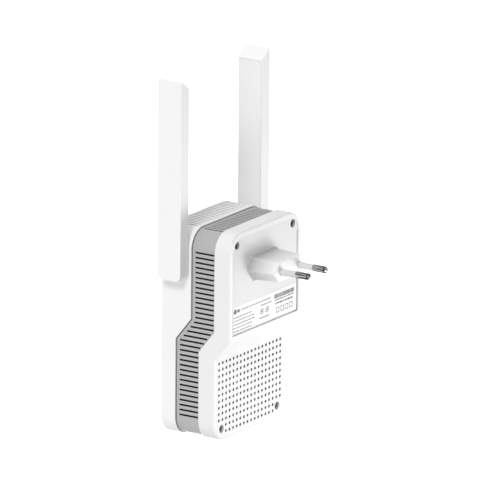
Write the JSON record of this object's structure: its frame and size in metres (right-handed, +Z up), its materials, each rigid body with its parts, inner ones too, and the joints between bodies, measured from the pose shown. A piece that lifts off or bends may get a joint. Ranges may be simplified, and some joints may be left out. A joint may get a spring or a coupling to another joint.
{
  "type": "wifi range extender",
  "caption": "Plug-in wifi range extender: a slim two-tone vented case with a round-pin mains plug and two folding antennas.",
  "frame": {"origin": "centre of the mains plug's end face, midway between the two pins", "axes": "+Z up along the case's height, +Y along the pins into the wall socket, +X to the left seen from the wall side"},
  "size_m": [0.0924, 0.0835, 0.2133],
  "materials": {
    "capacitor_sleeve": "shrink sleeve",
    "chip_plastic": "moulded epoxy",
    "circuit_board": "solder mask",
    "clear_plastic": "clear moulding",
    "clip_steel": "spring steel",
    "coil_tape": "wound tape",
    "contact_brass": "plated",
    "disc_ceramic": "dipped",
    "ferrite": "sintered",
    "fuse_glass": "moulded body",
    "grey_frame": "moulded, satin",
    "heat_sink_metal": "extruded",
    "hinge_plastic": "moulded",
    "insulating_film": "thin sheet",
    "jack_plastic": "moulded",
    "label_film": null,
    "lamp_resin": "diffused resin",
    "lead_sheath": "smooth sheath",
    "pin_metal": "nickel plated, polished",
    "plug_plastic": "moulded, half gloss",
    "screw_steel": "dark zinc",
    "shield_metal": "tin plate",
    "sleeve_plastic": "smooth insulating sleeve",
    "soft_pad": "soft",
    "switch_metal": "stamped",
    "white_antenna": "moulded, satin",
    "white_connector": "moulded",
    "white_shell": "moulded, very fine texture"
  },
  "bodies": {
    "case": {"board_screws": "screw_steel", "bridge_rectifier": "chip_plastic", "case_screws": "screw_steel", "ethernet_jack": "jack_plastic", "front_shell": "white_shell", "heat_sink": "heat_sink_metal", "indicator_lamps": "lamp_resin", "input_capacitors": "capacitor_sleeve", "insulating_sheet": "insulating_film", "jack_contacts": "contact_brass", "left_board_lead": "lead_sheath", "left_coax_plug": "contact_brass", "left_hinge_washer": "soft_pad", "left_pin": "pin_metal", "left_pin_contact": "contact_brass", "left_pin_sleeve": "sleeve_plastic", "left_shield_can": "shield_metal", "light_pipes": "clear_plastic", "main_board": "circuit_board", "mains_choke": "ferrite", "mains_fuse": "fuse_glass", "memory_chip": "chip_plastic", "middle_frame": "grey_frame", "network_transformer": "chip_plastic", "output_capacitor": "capacitor_sleeve", "plug_block": "plug_plastic", "power_board": "circuit_board", "power_leads": "lead_sheath", "power_socket": "white_connector", "processor": "chip_plastic", "push_switch": "switch_metal", "rating_label": "label_film", "rear_shell": "white_shell", "right_board_lead": "lead_sheath", "right_coax_plug": "contact_brass", "right_hinge_washer": "soft_pad", "right_pin": "pin_metal", "right_pin_contact": "contact_brass", "right_pin_sleeve": "sleeve_plastic", "right_shield_can": "shield_metal", "safety_capacitor": "disc_ceramic", "thermal_pad": "soft_pad", "transformer_coil": "coil_tape", "transformer_core": "ferrite"},
    "left_antenna": {"left_antenna_housing": "white_antenna", "left_antenna_back": "white_antenna", "left_antenna_element": "circuit_board", "left_antenna_lead": "lead_sheath", "left_hinge_shaft": "hinge_plastic", "left_hinge_clip": "clip_steel"},
    "right_antenna": {"right_antenna_housing": "white_antenna", "right_antenna_back": "white_antenna", "right_antenna_element": "circuit_board", "right_antenna_lead": "lead_sheath", "right_hinge_shaft": "hinge_plastic", "right_hinge_clip": "clip_steel"},
    "pairing_button": {"button_cap": "white_shell", "switch_plunger": "chip_plastic"}
  },
  "joints": [
    {"name": "left_antenna_fold", "type": "hinge", "parent": "case", "child": "left_antenna", "pos_m": [0.0378, -0.053, 0.003], "axis": [1, 0, 0], "range_deg": [0, 180]},
    {"name": "right_antenna_fold", "type": "hinge", "parent": "case", "child": "right_antenna", "pos_m": [-0.0378, -0.053, 0.003], "axis": [1, 0, 0], "range_deg": [0, 180]},
    {"name": "pairing_button_press", "type": "slide", "parent": "case", "child": "pairing_button", "axis": [0, 1, 0], "range_m": [0, 0.0005], "stiffness_N_per_m": 2000, "springref_m": -0.0002}
  ]
}
